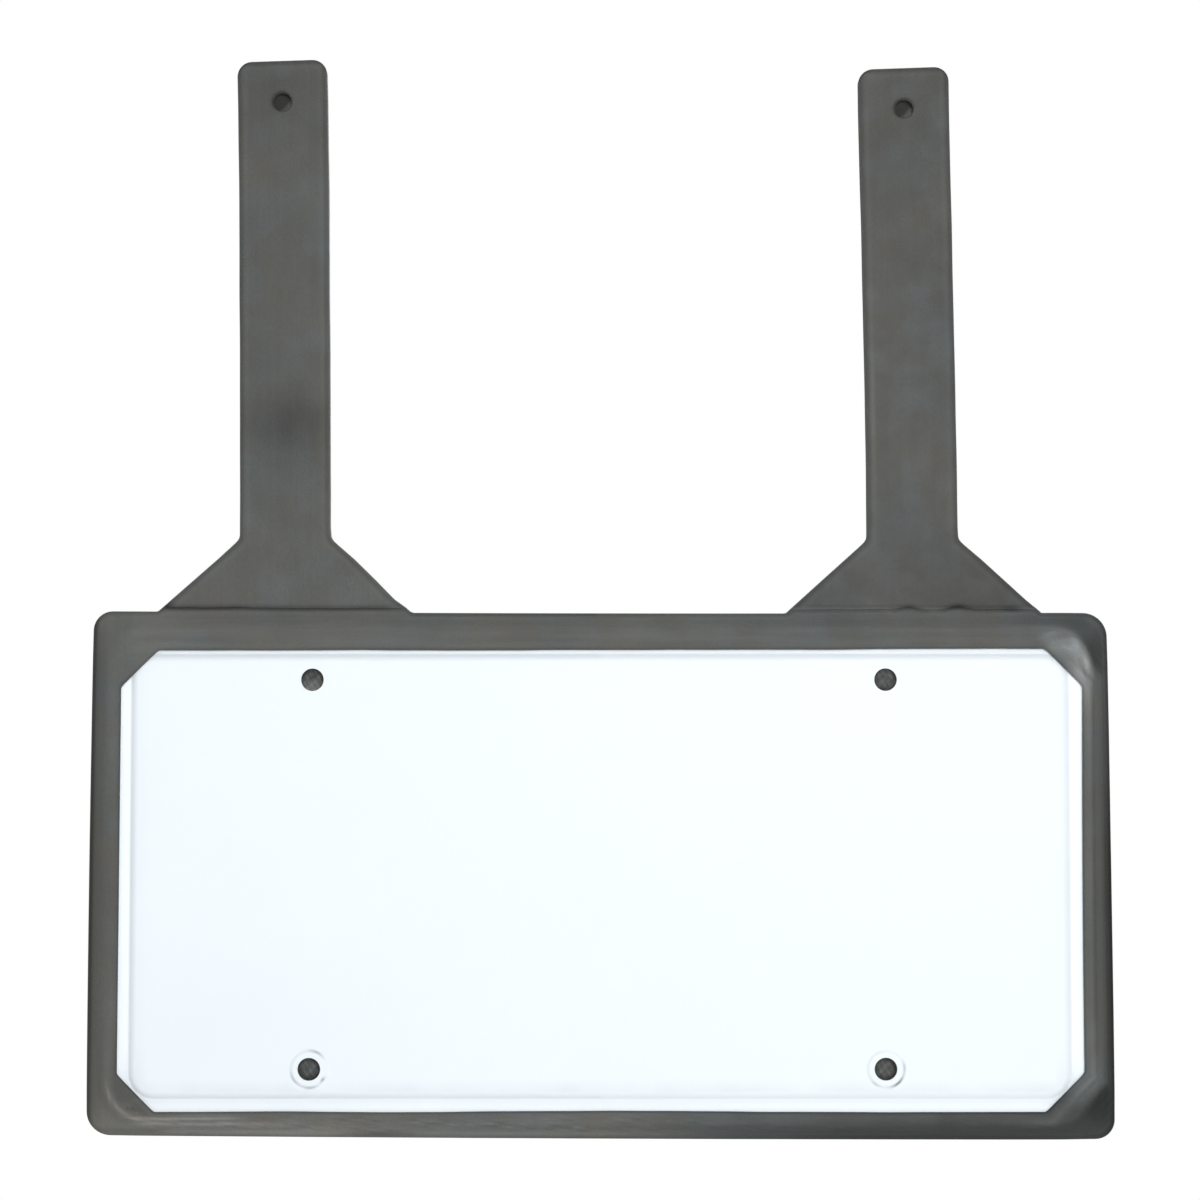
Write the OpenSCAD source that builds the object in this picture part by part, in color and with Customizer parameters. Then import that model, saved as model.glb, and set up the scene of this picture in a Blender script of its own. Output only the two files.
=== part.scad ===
// Number plate holder, moulded in one piece from soft rubber.
// A flat back panel carries a raised rim whose lips and corner webs hook over the plate's edge,
// and two long straps with flared roots rise from the rim's top, each with one hole near its tip.
// A pressed sheet plate lies loose in the channel under the lips.
// X runs to the right, Z up and the front faces -Y. The origin is midway between the strap holes,
// on the flat back.

/* [Number plate] */
// Width of the plate
plate_w = 304.8; // [240:0.1:380]
// Height of the plate
plate_h = 152.4; // [120:0.1:200]
// Thickness of the plate's sheet
plate_t = 0.8; // [0.5:0.1:1.2]
// Radius of the plate's corners
plate_corner_r = 12.7; // [8:0.1:20]
// Width of the flat flange left round the pressed panel
flange_w = 7; // [5:0.1:10]
// Width of the pressed bevel between flange and panel
bevel_w = 2.3; // [1:0.1:4]
// Height that the panel stands forward of the flange
emboss_h = 1; // [0.4:0.1:1.6]
// Corner radius of the pressed panel at the foot of its bevel
panel_corner_r = 9; // [5:0.1:16]
// Diameter of the four fixing holes
plate_hole_d = 7; // [5:0.1:10]
// Distance from the plate's left and right edges to its fixing holes
hole_inset_x = 63.5; // [40:0.5:80]
// Distance from the plate's top and bottom edges to its fixing holes
hole_inset_z = 15.875; // [15.875:0.125:30]
// Diameter of the pressed seat round each lower hole, at its foot
seat_d = 12; // [10:0.1:14]
// Width of the seat's own bevel
seat_bevel = 0.8; // [0.4:0.1:1]
// Height of the seat above the panel
seat_h = 0.4; // [0.2:0.1:0.6]

/* [Rubber frame] */
// Thickness of the back panel
back_t = 2.4; // [1.6:0.1:5]
// Thickness of the wall beside the plate, left and right
side_wall = 5; // [3.5:0.1:9]
// Thickness of the wall over the plate
top_wall = 4; // [3.5:0.1:9]
// Thickness of the wall under the plate
bottom_wall = 5; // [3.5:0.1:9]
// Clearance beside and above the plate in its channel
edge_gap = 0.6; // [0.3:0.1:1.5]
// Clearance between the plate's flange and the lips over it
lip_gap = 0.6; // [0.3:0.1:1.5]
// Thickness of the lips where they leave the wall
lip_t = 2; // [1.6:0.1:4]
// How far the side lips reach over the plate
side_cover = 3.4; // [2:0.1:6]
// How far the top lip reaches over the plate
top_cover = 6.5; // [2:0.1:8]
// How far the bottom lip reaches over the plate
bottom_cover = 3.5; // [2:0.1:6]
// Leg of the 45 degree web across each corner of the window
web_leg = 11.5; // [8:0.1:20]
// Outer corner radius of the frame
frame_corner_r = 7; // [4:0.1:12]
// Rounding of the frame's outer front edge
rim_round = 1.8; // [0.8:0.1:2.4]
// Distance from the frame's outer edge to the crest of its rim
crest_inset = 4.6; // [3.5:0.1:8]
// Fall of the rim from its crest to the outer edge
rim_fall = 1; // [0.2:0.1:1.2]
// Fall of the lips from their crest to the window
lip_fall = 0.6; // [0.2:0.1:0.8]
// Distance over which a corner web falls to the window
web_fall_w = 8; // [4:0.1:12]
// Chamfer of the lips' inner edge
nose_bevel = 0.4; // [0.2:0.1:0.6]

/* [Straps] */
// Width of each strap
strap_w = 28.5; // [20:0.1:40]
// Thickness of each strap
strap_t = 3.2; // [2:0.1:4.2]
// Height of the straps above the frame
strap_len = 172.4; // [90:0.1:260]
// Distance between the two straps, middle to middle
strap_dx = 195; // [130:0.1:200]
// Radius of the corners at each strap's tip
tip_r = 4.2; // [2:0.1:9]
// Rounding of the straps' front edges
strap_round = 0.8; // [0.3:0.1:1.5]
// Diameter of the hole in each strap
strap_hole_d = 6.2; // [3:0.1:10]
// Distance from the strap's tip to its hole
hole_from_tip = 12.7; // [9:0.1:30]
// Width that each side of the flared root adds
flare_w = 24.8; // [12:0.1:28]
// Height of the flared root
flare_h = 22.9; // [12:0.1:40]
// Height of the rounded step at the strap's root, above the frame
root_step = 1.4; // [0.5:0.1:1.8]

/* [Hidden] */
$fn = 96;

rubber_colour = [0.37, 0.37, 0.36];
plate_colour = [0.95, 0.97, 0.99];

// How far a cutting shape runs past the surface that it opens
past = 1;

// Depths, counted forward from the flat back
channel_h = plate_t + lip_gap;
lip_back = back_t + channel_h;
frame_t = lip_back + lip_t;

// Places in the plan, counted from the line through the strap holes
frame_w = plate_w + 2 * (edge_gap + side_wall);
frame_h = plate_h + edge_gap + top_wall + bottom_wall;
frame_top = hole_from_tip - strap_len;
frame_bottom = frame_top - frame_h;
plate_bottom = frame_bottom + bottom_wall;
plate_mid = plate_bottom + plate_h / 2;
window_w = plate_w - 2 * side_cover;
window_top = plate_bottom + plate_h - top_cover;
window_bottom = plate_bottom + bottom_cover;
window_h = window_top - window_bottom;
window_mid = (window_top + window_bottom) / 2;

// Slope of the rim outside its crest, and the height at which the outer edge's rounding would be level:
// a little over the slope there, so that the two cross at an edge
rim_slope = rim_fall / crest_inset;
round_lead = 0.05;
rim_round_t = frame_t - rim_slope * (crest_inset - rim_round) + round_lead;

// Places of the plate's fixing holes, counted from its middle
plate_hole_x = plate_w / 2 - hole_inset_x;
plate_hole_z = plate_h / 2 - hole_inset_z;

// Widths of the lips, from the plate's edge clearance to the window
side_lip = side_cover + edge_gap;
top_lip = top_cover + edge_gap;
bottom_lip = bottom_cover;

// Each window edge: direction that it faces, distance from the middle, and width of its fall
web_reach = (window_w + window_h) / 2 * sqrt(1 / 2) - web_leg * sqrt(1 / 2);
WINDOW_EDGES = concat(
    [[0, window_w / 2, side_lip],
     [90, window_h / 2, top_lip],
     [180, window_w / 2, side_lip],
     [270, window_h / 2, bottom_lip]],
    [for (turn = [45, 135, 225, 315]) [turn, web_reach, web_fall_w]]
);

// A flat blank in the plan, with its thickness standing forward
module blank(thickness) {
    linear_extrude(thickness) children();
}

// Turns what is drawn flat in the plan upright, with its thickness towards -Y
module upright() {
    rotate([90, 0, 0]) children();
}

module rounded_rectangle(w, h, r) {
    square([w - 2 * r, h], center = true);
    square([w, h - 2 * r], center = true);
    for (x = [-1, 1], y = [-1, 1])
        translate([x * (w / 2 - r), y * (h / 2 - r)]) circle(r);
}

// A low pressed rectangle with sloping sides and conical corners
module pressed_rectangle(w, h, corner_r, slope_w, height) {
    for (turn = [0, 1]) {
        length = turn == 0 ? w - 2 * corner_r : h - 2 * corner_r;
        foot = turn == 0 ? h / 2 : w / 2;
        rotate([0, 0, 90 * turn]) translate([-length / 2, 0, 0]) rotate([90, 0, 90])
            linear_extrude(length)
                polygon([[-foot, 0], [foot, 0], [foot - slope_w, height], [slope_w - foot, height]]);
    }
    for (x = [-1, 1], y = [-1, 1])
        translate([x * (w / 2 - corner_r), y * (h / 2 - corner_r), 0])
            cylinder(r1 = corner_r, r2 = corner_r - slope_w, h = height);
}

// Section of what rounding takes off an edge: the origin is the rounding's centre
module rounding_section(r) {
    difference() {
        square(r + past);
        circle(r);
    }
}

// Rounding along a straight edge that starts at the origin and runs along X, with its body towards +Y
module straight_rounding(length, r, thickness) {
    translate([0, r, thickness - r])
        mirror([0, 1, 0])
            rotate([90, 0, 90])
                linear_extrude(length) rounding_section(r);
}

// Rounding round an outer corner of radius corner_r about the origin
module corner_rounding(corner_r, turn, r, thickness) {
    rotate_extrude(angle = turn)
        translate([corner_r - r, thickness - r]) rounding_section(r);
}

// Rounding of the frame's front edge, left out where the straps' roots cross its top side
module frame_rounding() {
    w = frame_w / 2;
    h = frame_h / 2;
    r = frame_corner_r;
    root_in = strap_dx / 2 - flare_half(0);
    root_out = strap_dx / 2 + flare_half(0);
    for (span = [[r - w, -root_out], [-root_in, root_in], [root_out, w - r]])
        translate([span[1], h, 0]) rotate([0, 0, 180])
            straight_rounding(span[1] - span[0], rim_round, rim_round_t);
    translate([r - w, -h, 0]) straight_rounding(2 * (w - r), rim_round, rim_round_t);
    for (side = [0, 1]) mirror([side, 0, 0]) {
        translate([w, r - h, 0])
            rotate([0, 0, 90]) straight_rounding(2 * (h - r), rim_round, rim_round_t);
        translate([w - r, h - r, 0])
            corner_rounding(r, 90, rim_round, rim_round_t);
        translate([w - r, r - h, 0])
            rotate([0, 0, -90]) corner_rounding(r, 90, rim_round, rim_round_t);
    }
}

// Room over the rim outside its crest: it falls outward and follows the plate's rounded corners
module rim_fall_room() {
    reach = 3 * crest_inset;
    fall = reach * rim_slope;
    outward = 2 * (reach - crest_inset);
    difference() {
        translate([-frame_w / 2 - past, -frame_h / 2 - past, frame_t - fall])
            cube([frame_w + 2 * past, frame_h + 2 * past, fall + past]);
        translate([0, 0, frame_t - fall])
            pressed_rectangle(frame_w + outward, frame_h + outward, plate_corner_r + reach, reach, fall);
        translate([0, 0, frame_t - past])
            blank(3 * past) rounded_rectangle(frame_w - 2 * crest_inset, frame_h - 2 * crest_inset, plate_corner_r);
    }
}

// Room over a surface that rises outward from every edge of the window
// fall is the rise over each edge's own width, or over span where span is given
module window_funnel(level, fall, span = 0) {
    reach = frame_w + frame_h;
    difference() {
        translate([-frame_w / 2, -frame_h / 2, level - past])
            cube([frame_w, frame_h, frame_t + 2 * past - level]);
        for (edge = WINDOW_EDGES)
            rotate([0, 0, edge[0]])
                translate([edge[1], 0, level])
                    rotate([0, -atan(fall / (span > 0 ? span : edge[2])), 0])
                        translate([-reach, -reach, -reach])
                            cube([2 * reach, 2 * reach, reach]);
    }
}

module window_outline() {
    w = window_w / 2;
    h = window_h / 2;
    polygon([[w - web_leg, -h], [w, web_leg - h], [w, h - web_leg], [w - web_leg, h],
             [web_leg - w, h], [-w, h - web_leg], [-w, web_leg - h], [web_leg - w, -h]]);
}

// The channel that the plate slides into: it hooks under the lips and corner webs
module plate_channel() {
    translate([0, plate_mid + edge_gap / 2, back_t])
        blank(channel_h)
            rounded_rectangle(plate_w + 2 * edge_gap, plate_h + edge_gap, plate_corner_r);
}

module frame_body() {
    frame_mid = (frame_top + frame_bottom) / 2;
    difference() {
        translate([0, frame_mid, 0]) difference() {
            blank(frame_t) rounded_rectangle(frame_w, frame_h, frame_corner_r);
            rim_fall_room();
            frame_rounding();
        }
        plate_channel();
        translate([0, window_mid, 0]) {
            translate([0, 0, back_t]) blank(frame_t) window_outline();
            window_funnel(frame_t - lip_fall, lip_fall);
            window_funnel(frame_t - lip_fall - nose_bevel, nose_bevel, nose_bevel);
        }
    }
}

// How far the strap's root runs down into the frame's wall, and the flare up into the strap
root_sink = top_wall / 2;
flare_rise = strap_w / 8;

// Half the width of the flare at a height above the frame
function flare_half(height) = strap_w / 2 + flare_w * (1 - height / flare_h);

// The strap from its root to its rounded tip, with its front edges rounded
module strap_blade() {
    difference() {
        blank(strap_t) {
            translate([-strap_w / 2, -root_sink]) square([strap_w, strap_len + root_sink - tip_r]);
            translate([tip_r - strap_w / 2, 0]) square([strap_w - 2 * tip_r, strap_len]);
            for (side = [-1, 1])
                translate([side * (strap_w / 2 - tip_r), strap_len - tip_r]) circle(tip_r);
        }
        for (side = [0, 1]) mirror([side, 0, 0]) {
            translate([strap_w / 2, 0, 0])
                rotate([0, 0, 90]) straight_rounding(strap_len - tip_r, strap_round, strap_t);
            translate([strap_w / 2 - tip_r, strap_len - tip_r, 0])
                corner_rounding(tip_r, 90, strap_round, strap_t);
        }
        translate([strap_w / 2 - tip_r, strap_len, 0])
            rotate([0, 0, 180]) straight_rounding(strap_w - 2 * tip_r, strap_round, strap_t);
    }
}

// The root in the plan: its sides lean out from inside the strap down to the frame
module flare_outline() {
    foot = flare_half(0);
    head = flare_half(flare_h + flare_rise);
    polygon([[-foot, -root_sink], [foot, -root_sink], [foot, 0], [head, flare_h + flare_rise],
             [-head, flare_h + flare_rise], [-foot, 0]]);
}

// A wide slab whose edge runs along X through the origin, rounded at its front, with its body towards +Y
module round_edged_slab(reach) {
    translate([-reach, 0, 0]) rotate([90, 0, 90]) linear_extrude(2 * reach) {
        square([2 * reach, strap_t - strap_round]);
        translate([strap_round, 0]) square([2 * reach - strap_round, strap_t]);
        translate([strap_round, strap_t - strap_round]) circle(strap_round);
    }
}

module leaning_side(side) {
    foot = flare_half(0);
    lean = atan(flare_w / flare_h);
    mirror([side, 0, 0]) translate([foot, 0, 0])
        rotate([0, 0, 90 + lean]) round_edged_slab(2 * foot);
}

// The flared root, with its leaning front edges rounded
module strap_flare() {
    foot = flare_half(0);
    intersection() {
        leaning_side(0);
        leaning_side(1);
        translate([-foot, -root_sink, 0]) cube([2 * foot, root_sink + flare_h + flare_rise, strap_t]);
    }
}

// The rounded step where the thin strap leaves the thicker rim
module root_round() {
    step_r = frame_t - rim_fall - strap_t;
    foot = flare_half(0);
    intersection() {
        blank(frame_t - rim_fall) flare_outline();
        translate([-foot, root_step - step_r, strap_t])
            rotate([0, 90, 0]) cylinder(r = step_r, h = 2 * foot);
    }
}

module strap() {
    difference() {
        union() {
            strap_blade();
            strap_flare();
        }
        translate([0, strap_len - hole_from_tip, -past])
            cylinder(d = strap_hole_d, h = strap_t + 2 * past);
    }
    root_round();
}

module holder() {
    color(rubber_colour) upright() {
        frame_body();
        for (side = [-1, 1]) translate([side * strap_dx / 2, frame_top, 0]) strap();
    }
}

// A raised ring of metal round a hole, turned from its section, with its foot inside the panel
module hole_seat() {
    rotate_extrude()
        polygon([[0, emboss_h / 2], [seat_d / 2, emboss_h / 2], [seat_d / 2, emboss_h],
                 [seat_d / 2 - seat_bevel, emboss_h + seat_h], [0, emboss_h + seat_h]]);
}

// Everything that the press pushes forward: the panel and the two lower hole seats
module pressing() {
    pressed_rectangle(plate_w - 2 * flange_w, plate_h - 2 * flange_w, panel_corner_r, bevel_w, emboss_h);
    for (x = [-1, 1])
        translate([x * plate_hole_x, -plate_hole_z, 0]) hole_seat();
}

module number_plate() {
    color(plate_colour) upright() translate([0, plate_mid, back_t]) difference() {
        union() {
            blank(plate_t) rounded_rectangle(plate_w, plate_h, plate_corner_r);
            translate([0, 0, plate_t]) pressing();
        }
        pressing();
        for (x = [-1, 1], y = [-1, 1])
            translate([x * plate_hole_x, y * plate_hole_z, -past])
                cylinder(d = plate_hole_d, h = plate_t + emboss_h + seat_h + 2 * past);
    }
}

holder();
number_plate();
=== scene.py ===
import math

import bmesh
import bpy
import numpy as np
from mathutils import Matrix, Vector
from mathutils.geometry import delaunay_2d_cdt


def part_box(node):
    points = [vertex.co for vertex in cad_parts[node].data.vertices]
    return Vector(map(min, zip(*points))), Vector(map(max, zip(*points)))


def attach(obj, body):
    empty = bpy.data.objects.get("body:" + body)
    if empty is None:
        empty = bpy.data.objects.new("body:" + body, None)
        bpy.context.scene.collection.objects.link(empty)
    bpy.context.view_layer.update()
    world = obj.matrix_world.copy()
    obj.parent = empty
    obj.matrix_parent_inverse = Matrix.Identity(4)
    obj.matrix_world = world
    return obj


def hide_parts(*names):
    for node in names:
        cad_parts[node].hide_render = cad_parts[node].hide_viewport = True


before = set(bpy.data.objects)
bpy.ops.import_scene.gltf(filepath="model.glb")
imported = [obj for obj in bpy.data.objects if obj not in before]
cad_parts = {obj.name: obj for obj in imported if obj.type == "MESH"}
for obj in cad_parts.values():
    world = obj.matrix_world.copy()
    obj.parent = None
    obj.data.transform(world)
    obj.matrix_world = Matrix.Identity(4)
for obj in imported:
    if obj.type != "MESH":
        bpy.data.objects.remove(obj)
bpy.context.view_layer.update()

# Lengths are in millimetres, as (x to the right, z up, d forward from the flat back), up to
# to_world, and in metres on the stage.
MM = 0.001
LEFT = -1
RIGHT = 1
UPPER = 1
LOWER = -1

HOLDER_LOW, HOLDER_HIGH = [np.array(corner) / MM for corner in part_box("holder")]
PLATE_LOW, PLATE_HIGH = [np.array(corner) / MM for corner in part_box("number_plate")]

# The number plate: pressed sheet with a flat flange, a bevel and a raised panel
PLATE_HALF_W = (PLATE_HIGH[0] - PLATE_LOW[0]) / 2
PLATE_HALF_H = (PLATE_HIGH[2] - PLATE_LOW[2]) / 2
PLATE_MID = (PLATE_HIGH[2] + PLATE_LOW[2]) / 2
PLATE_BACK = -PLATE_HIGH[1]
PLATE_T = 0.8
PLATE_CORNER_R = 12.7
PANEL_HALF_W = PLATE_HALF_W - 7.0
PANEL_HALF_H = PLATE_HALF_H - 7.6
PANEL_MID = PLATE_MID - 0.6
PANEL_R = 8.0
PANEL_RISE = 0.8
BEVEL_W = 2.5

# Hole centres from the plate's middle: upper left, upper right, lower left, lower right
HOLES = ((-89.25, 59.95), (88.6, 60.0), (-89.7, -60.1), (88.1, -60.05))
HOLE_R = 3.5
HOLE_STEPS = 56
SEAT_R = 6.0
SEAT_H = 0.4

# The rubber frame: a flat back, a rounded rim, and lips over the plate's edge
HALF_W = HOLDER_HIGH[0]
BOTTOM = HOLDER_LOW[2]
TOP = PLATE_MID + PLATE_HALF_H + 4.6
MID = (TOP + BOTTOM) / 2
HALF_H = (TOP - BOTTOM) / 2
DEEP = -HOLDER_LOW[1]
CREST = DEEP - 0.1
RIM_FALL = 1.35
WINDOW_HALF_W = PLATE_HALF_W - 3.4
WINDOW_TOP = PLATE_MID + PLATE_HALF_H - 6.5
WINDOW_BOTTOM = PLATE_MID - PLATE_HALF_H + 3.5
WINDOW_MID = (WINDOW_TOP + WINDOW_BOTTOM) / 2
WINDOW_HALF_H = (WINDOW_TOP - WINDOW_BOTTOM) / 2
WEB_LEG = 11.5
BACK_EDGE = 0.5
RIM_ROUND = 1.8
LIP_NOSE_R = 0.7
LIP_BACK = 3.8
CHANNEL_GAP = 0.6

# One value for each corner: upper right, lower right, lower left, upper left
FRAME_RADII = (7.5, 6.0, 7.5, 6.0)
WEB_LEGS = (11.6, 11.9, 11.4, 11.5)
CHANNEL_RADII = (13.3, 13.3, 13.3, 13.3)
SQUARE = (0, 0, 0, 0)

# The straps, each with its own lean at the foot, the middle and the tip, and its own stretch
STRAP_X = 97.5
STRAP_HALF = 14.25
STRAP_T = 3.2
STRAP_TIP = HOLDER_HIGH[2]
STRAP_ROUND = 0.8
STRAP_HOLE_Z = STRAP_TIP - 13.0
STRAP_HOLE_R = 2.9
STRAP_HOLE_STEPS = 48
TIP_R = 4.7
FLARE_W = 25.5
FLARE_H = 22.9
FLARE_SOFT = 0.5
ROOT_SINK = 2.0
ROOT_FILLET = {LEFT: 0.3, RIGHT: 0.4}
STRAP_LEAN = {LEFT: (-0.7, -1.2, -2.5), RIGHT: (0.1, -1.0, -2.3)}
STRAP_STRETCH = {LEFT: 1.35, RIGHT: -0.95}
TIP_TILT = {LEFT: 0.033, RIGHT: 0.035}

# Marks on the points of the holder's mesh
FRAME_MARK = 1.0
STRAP_MARK = 2.0


def smooth(x, start, end):
    """0 before start, 1 after end, and a soft step between them."""
    t = np.clip((x - start) / (end - start), 0, 1)
    return t * t * (3 - 2 * t)


def bell(x, centre, width):
    """1 at the centre, with a soft fall to 0 over about twice the width."""
    return np.exp(-(((x - centre) / width) ** 2))


def bow(t, first, middle, last):
    """A smooth curve through three values, at t = -1, 0 and 1."""
    return middle + t * (last - first) / 2 + t * t * ((first + last) / 2 - middle)


def wave(t, seed, reach):
    """A slow uneven wave in about -1..1 along t, with humps about reach mm long."""
    rng = np.random.default_rng(seed)
    total = np.zeros_like(t)
    for octave in range(4):
        length = reach * 2.4 / 1.7**octave
        total = total + np.sin(2 * math.pi * t / length + rng.uniform(0, 6.28)) / 1.5**octave
    return total / 2.4


def rectangle_distance(x, z, half_w, mid, half_h, r):
    """Distance to a rounded rectangle's outline, negative inside it."""
    u = np.abs(x) - half_w + r
    v = np.abs(z - mid) - half_h + r
    outside = np.hypot(np.maximum(u, 0), np.maximum(v, 0))
    return outside + np.minimum(np.maximum(u, v), 0) - r


def to_world(plan):
    """Points given as (x, z, d) in mm, as Blender's x, y and z in metres."""
    return np.stack([plan[:, 0], -plan[:, 2], plan[:, 1]], axis=1) * MM


def linear(hex_colour):
    """An sRGB colour written as RRGGBB, as the linear colour that the shaders take."""
    out = []
    for at in (0, 2, 4):
        c = int(hex_colour[at:at + 2], 16) / 255
        out.append(c / 12.92 if c <= 0.04045 else ((c + 0.055) / 1.055) ** 2.4)
    return (*out, 1.0)


# Outlines

# Loops round the plate share their steps, in the corners by the angle seen from here.
CORE_X = 134.0
CORE_Z = WINDOW_HALF_H - 14.0
LONG_STEPS = 268
SHORT_STEPS = 124
CORNER_STEPS = 72


def arc(x, z, r, turn):
    return np.stack([x + r * np.cos(turn), z + r * np.sin(turn)], axis=1)


def circle(x, z, r, count):
    return arc(x, z, r, np.linspace(0, 2 * math.pi, count, endpoint=False))


def cut_corner(half_w, half_h, leg):
    """The upper right corner of a loop, cut off by a web with legs this long, and softened."""
    marks = np.array([(CORE_X, half_h), (half_w - leg - 2, half_h), (half_w - leg, half_h),
                      (half_w, half_h - leg), (half_w, half_h - leg - 2), (half_w, CORE_Z)])
    steps = np.linspace(0, 1, 40)[:, None]
    path = np.concatenate([a + (b - a) * steps for a, b in zip(marks[:-1], marks[1:])])
    for _ in range(60):
        path[1:-1] = (path[:-2] + 2 * path[1:-1] + path[2:]) / 4
    return path


def round_corner(half_w, half_h, r):
    """The upper right corner of a loop, rounded."""
    bend = arc(half_w - r, half_h - r, r, np.linspace(math.pi / 2, 0, 90))
    return np.concatenate([[[CORE_X, half_h]], bend, [[half_w, CORE_Z]]])


def corner_path(half_w, half_h, r, leg):
    """The upper right corner of a loop, in steps that match those of the other loops."""
    path = cut_corner(half_w, half_h, leg) if leg else round_corner(half_w, half_h, r)
    seen = np.arctan2(path[:, 1] - CORE_Z, path[:, 0] - CORE_X)
    order = np.argsort(seen)
    want = np.linspace(math.pi / 2, 0, CORNER_STEPS + 1)
    x = np.interp(want, seen[order], path[order, 0])
    z = np.interp(want, seen[order], path[order, 1])
    return np.stack([x, z], axis=1)


def loop(half_w, mid, half_h, radii, legs):
    """A closed loop round the plate, clockwise as seen from the front, from the top's right end."""
    flips = ((1, 1), (1, -1), (-1, -1), (-1, 1))
    corners = []
    for index, (r, leg, flip) in enumerate(zip(radii, legs, flips)):
        corner = corner_path(half_w, half_h, r, leg) * flip
        corners.append(corner[::-1] if index % 2 else corner)
    parts = []
    for index, corner in enumerate(corners):
        ahead = corners[(index + 1) % 4]
        steps = LONG_STEPS if index % 2 else SHORT_STEPS
        parts += [corner, np.linspace(corner[-1], ahead[0], steps + 1)[1:-1]]
    points = np.concatenate(parts)
    points[:, 1] += mid
    return points


def pushed_in(points, inset):
    """The same loop, moved inwards along its normals."""
    along = np.roll(points, -1, axis=0) - np.roll(points, 1, axis=0)
    along /= np.linalg.norm(along, axis=1)[:, None]
    inwards = np.stack([along[:, 1], -along[:, 0]], axis=1)
    return points + inwards * inset


# Mesh building

def put(name, data, place=(0, 0, 0)):
    """A new object in the scene."""
    thing = bpy.data.objects.new(name, data)
    thing.location = place
    bpy.context.scene.collection.objects.link(thing)
    return thing


def new_object(name, points, faces, plan, mark=0.0):
    """A mesh object that keeps each point's place on the straight design, and its mark."""
    mesh = bpy.data.meshes.new(name)
    mesh.from_pydata([tuple(p) for p in points], [], [tuple(f) for f in faces])
    mesh.update()
    field = mesh.attributes.new("plan", "FLOAT_VECTOR", "POINT")
    field.data.foreach_set("vector", np.asarray(plan, np.float32).ravel())
    write_field(mesh, "part", np.full(len(points), mark))
    work = bmesh.new()
    work.from_mesh(mesh)
    bmesh.ops.recalc_face_normals(work, faces=work.faces)
    work.to_mesh(mesh)
    work.free()
    return put(name, mesh)


def write_field(mesh, name, values):
    field = mesh.attributes.new(name, "FLOAT", "POINT")
    field.data.foreach_set("value", np.asarray(values, np.float32))


def read_field(mesh, name, kind, width):
    values = np.zeros(len(mesh.vertices) * width, np.float32)
    mesh.attributes[name].data.foreach_get(kind, values)
    return values.reshape(-1, width) if width > 1 else values


def placed_points(mesh):
    """Where the mesh's points lie, as (x, z, d) in mm."""
    places = np.zeros(len(mesh.vertices) * 3, np.float32)
    mesh.vertices.foreach_get("co", places)
    places = places.reshape(-1, 3) / MM
    return np.stack([places[:, 0], places[:, 2], -places[:, 1]], axis=1)


def ring_faces(rows, count):
    """Quads between the rows, and the back face. The last row stays open, for the floor."""
    faces = []
    for row in range(rows - 1):
        here = row * count
        there = here + count
        for at in range(count):
            ahead = (at + 1) % count
            faces.append((here + at, here + ahead, there + ahead, there + at))
    faces.append(tuple(range(count)))
    return faces


def triangles_inside(points, rings):
    """Triangles that fill the first ring and use every point. The rings come first in points."""
    edges = []
    start = 0
    for ring in rings:
        ids = np.arange(start, start + len(ring))
        edges += list(zip(ids.tolist(), np.roll(ids, -1).tolist()))
        start += len(ring)
    found = delaunay_2d_cdt([Vector(p) for p in points], edges, [], 1, 1e-7)
    assert len(found[0]) == len(points)
    return np.array(found[2])


def inside(points, outline):
    """Which points lie inside a closed outline."""
    x = points[:, 0][:, None]
    z = points[:, 1][:, None]
    x1, z1 = outline.T
    x2, z2 = np.roll(outline, -1, axis=0).T
    spans = (z1 > z) != (z2 > z)
    rise = np.where(z2 == z1, 1e-9, z2 - z1)
    left_of = x < (x2 - x1) * (z - z1) / rise + x1
    return (np.sum(spans & left_of, axis=1) % 2) == 1


def nearest(points, outline):
    """Distance from each point to the nearest point of the outline."""
    gap = points[:, None, :] - outline[None, :, :]
    return np.sqrt((gap**2).sum(axis=2)).min(axis=1)


def fill_points(outline, holes, rings, spacing, extra):
    """A grid of points inside the outline, with the extra ones, clear of the holes and rings."""
    low = outline.min(axis=0)
    high = outline.max(axis=0)
    xs = np.arange(low[0] + 0.4 * spacing, high[0], spacing)
    zs = np.arange(low[1] + 0.4 * spacing, high[1], spacing)
    grid = np.stack(np.meshgrid(xs, zs), axis=-1).reshape(-1, 2)
    grid = grid[inside(grid, outline)]
    if len(extra):
        grid = np.concatenate([extra, grid[nearest(grid, extra) > 0.7]])
        spacing = min(spacing, 0.9)
    for ring in rings:
        grid = grid[nearest(grid, ring) > 0.55 * spacing]
    for hole in holes:
        grid = grid[~inside(grid, hole)]
    return grid


def sheet(name, outline, holes, inner_rings, spacing, front, back, warp=None, mark=0.0, extra=()):
    """A closed sheet with holes cut through it, and inner_rings of points on its faces."""
    rings = [outline, *holes, *inner_rings]
    points = np.concatenate([*rings, fill_points(outline, holes, rings, spacing, extra)])
    tris = triangles_inside(points, rings)
    for hole in holes:
        tris = tris[~inside(points[tris].mean(axis=1), hole)]
    count = len(points)
    faces = tris.tolist() + (tris[:, ::-1] + count).tolist()
    start = 0
    for ring in [outline, *holes]:
        ids = np.arange(start, start + len(ring))
        for a, b in zip(ids.tolist(), np.roll(ids, -1).tolist()):
            faces.append((a, b, b + count, a + count))
        start += len(ring)
    x, z = points.T
    plan = np.concatenate([np.column_stack([x, z, face(x, z)]) for face in (front, back)])
    placed = warp(plan) if warp else plan
    return new_object(name, to_world(placed), faces, plan, mark)


# The rubber frame

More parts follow.
